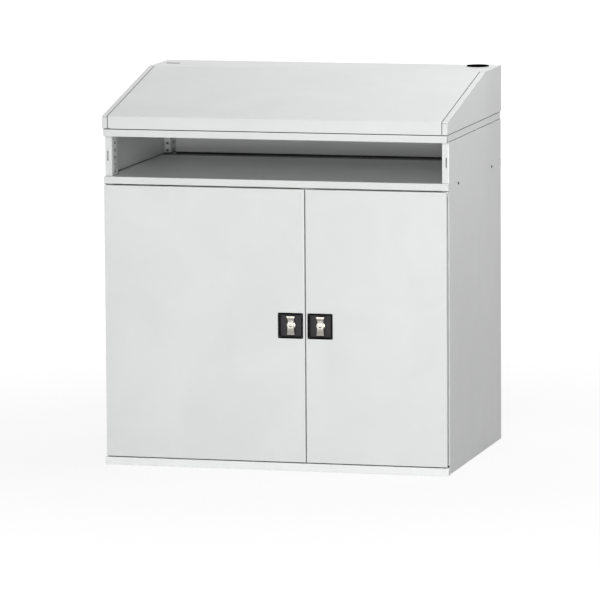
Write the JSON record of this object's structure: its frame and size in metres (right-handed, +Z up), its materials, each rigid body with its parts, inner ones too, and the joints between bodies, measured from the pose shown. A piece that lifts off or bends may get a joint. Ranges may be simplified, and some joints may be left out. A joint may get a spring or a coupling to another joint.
{
  "type": "industrial standing desk",
  "caption": "Sheet-steel workshop standing desk: slanted writing hood over an open compartment, and lockable cupboards with adjustable shelves behind hinged doors.",
  "frame": {"origin": "on the floor under the middle of the desk's box", "axes": "+Z up, the doors face -Y, +X to the right as seen from the front"},
  "size_m": [1.005, 0.695, 1.1],
  "materials": {
    "powder_coated_steel": "light grey powder coat, satin with a fine orange peel",
    "black_plastic": "fine-grained moulded plastic",
    "nickel_plate": "satin nickel plate on die casting",
    "zinc_plate": "bright zinc plate",
    "rubber": "matt"
  },
  "bodies": {
    "carcass": {"base_tray": "powder_coated_steel", "compartment_floor": "powder_coated_steel", "top_tray": "powder_coated_steel", "top_sheet": "powder_coated_steel", "back_panel": "powder_coated_steel", "partition": "powder_coated_steel", "left_side_panel": "powder_coated_steel", "right_side_panel": "powder_coated_steel", "front_left_upright": "powder_coated_steel", "front_right_upright": "powder_coated_steel", "rear_left_upright": "powder_coated_steel", "rear_right_upright": "powder_coated_steel", "hood_left_cheek": "powder_coated_steel", "hood_right_cheek": "powder_coated_steel", "hood_sheet": "powder_coated_steel", "hood_back": "powder_coated_steel", "grommet_ring": "black_plastic", "left_shelf": "powder_coated_steel", "right_shelf": "powder_coated_steel", "left_shelf_clip_front_left": "zinc_plate", "left_shelf_clip_front_right": "zinc_plate", "left_shelf_clip_rear_left": "zinc_plate", "left_shelf_clip_rear_right": "zinc_plate", "right_shelf_clip_front_left": "zinc_plate", "right_shelf_clip_front_right": "zinc_plate", "right_shelf_clip_rear_left": "zinc_plate", "right_shelf_clip_rear_right": "zinc_plate", "left_floor_screw_front": "zinc_plate", "left_floor_screw_rear": "zinc_plate", "right_floor_screw_front": "zinc_plate", "right_floor_screw_rear": "zinc_plate", "left_upper_hinge_bush": "black_plastic", "left_lower_hinge_pin": "zinc_plate", "right_upper_hinge_bush": "black_plastic", "right_lower_hinge_pin": "zinc_plate"},
    "left_door": {"left_door": "powder_coated_steel", "left_door_stiffener": "powder_coated_steel", "left_door_buffer": "rubber", "left_upper_hinge_pin": "zinc_plate", "left_lower_hinge_bush": "black_plastic", "left_lock_plate": "black_plastic", "left_lock_case": "zinc_plate"},
    "right_door": {"right_door": "powder_coated_steel", "right_door_stiffener": "powder_coated_steel", "right_door_buffer": "rubber", "right_upper_hinge_pin": "zinc_plate", "right_lower_hinge_bush": "black_plastic", "right_lock_plate": "black_plastic", "right_lock_case": "zinc_plate"},
    "left_handle": {"left_turn_handle": "nickel_plate", "left_latch_cam": "zinc_plate", "left_cam_screw": "zinc_plate"},
    "right_handle": {"right_turn_handle": "nickel_plate", "right_latch_cam": "zinc_plate", "right_cam_screw": "zinc_plate"},
    "left_key": {"left_key_plug": "nickel_plate"},
    "right_key": {"right_key_plug": "nickel_plate"},
    "grommet_cover": {"grommet_cover": "black_plastic"}
  },
  "joints": [
    {"name": "left_door_hinge", "type": "hinge", "parent": "carcass", "child": "left_door", "pos_m": [-0.4965, -0.3295, 0.4], "axis": [0, 0, -1], "range_deg": [0, 110]},
    {"name": "right_door_hinge", "type": "hinge", "parent": "carcass", "child": "right_door", "pos_m": [0.4965, -0.3295, 0.4], "axis": [0, 0, 1], "range_deg": [0, 110]},
    {"name": "left_handle_turn", "type": "hinge", "parent": "left_door", "child": "left_handle", "pos_m": [0.0462, -0.3472, 0.415], "axis": [0, 1, 0], "range_deg": [0, 90]},
    {"name": "right_handle_turn", "type": "hinge", "parent": "right_door", "child": "right_handle", "pos_m": [0.1322, -0.3472, 0.415], "axis": [0, -1, 0], "range_deg": [0, 90]},
    {"name": "left_key_turn", "type": "hinge", "parent": "left_handle", "child": "left_key", "pos_m": [0.0462, -0.3472, 0.415], "axis": [0, 1, 0], "range_deg": [0, 90]},
    {"name": "right_key_turn", "type": "hinge", "parent": "right_handle", "child": "right_key", "pos_m": [0.1322, -0.3472, 0.415], "axis": [0, -1, 0], "range_deg": [0, 90]},
    {"name": "grommet_cover_turn", "type": "hinge", "parent": "carcass", "child": "grommet_cover", "pos_m": [0.4425, 0.3055, 1.097], "axis": [0, 0, 1], "continuous": true}
  ]
}
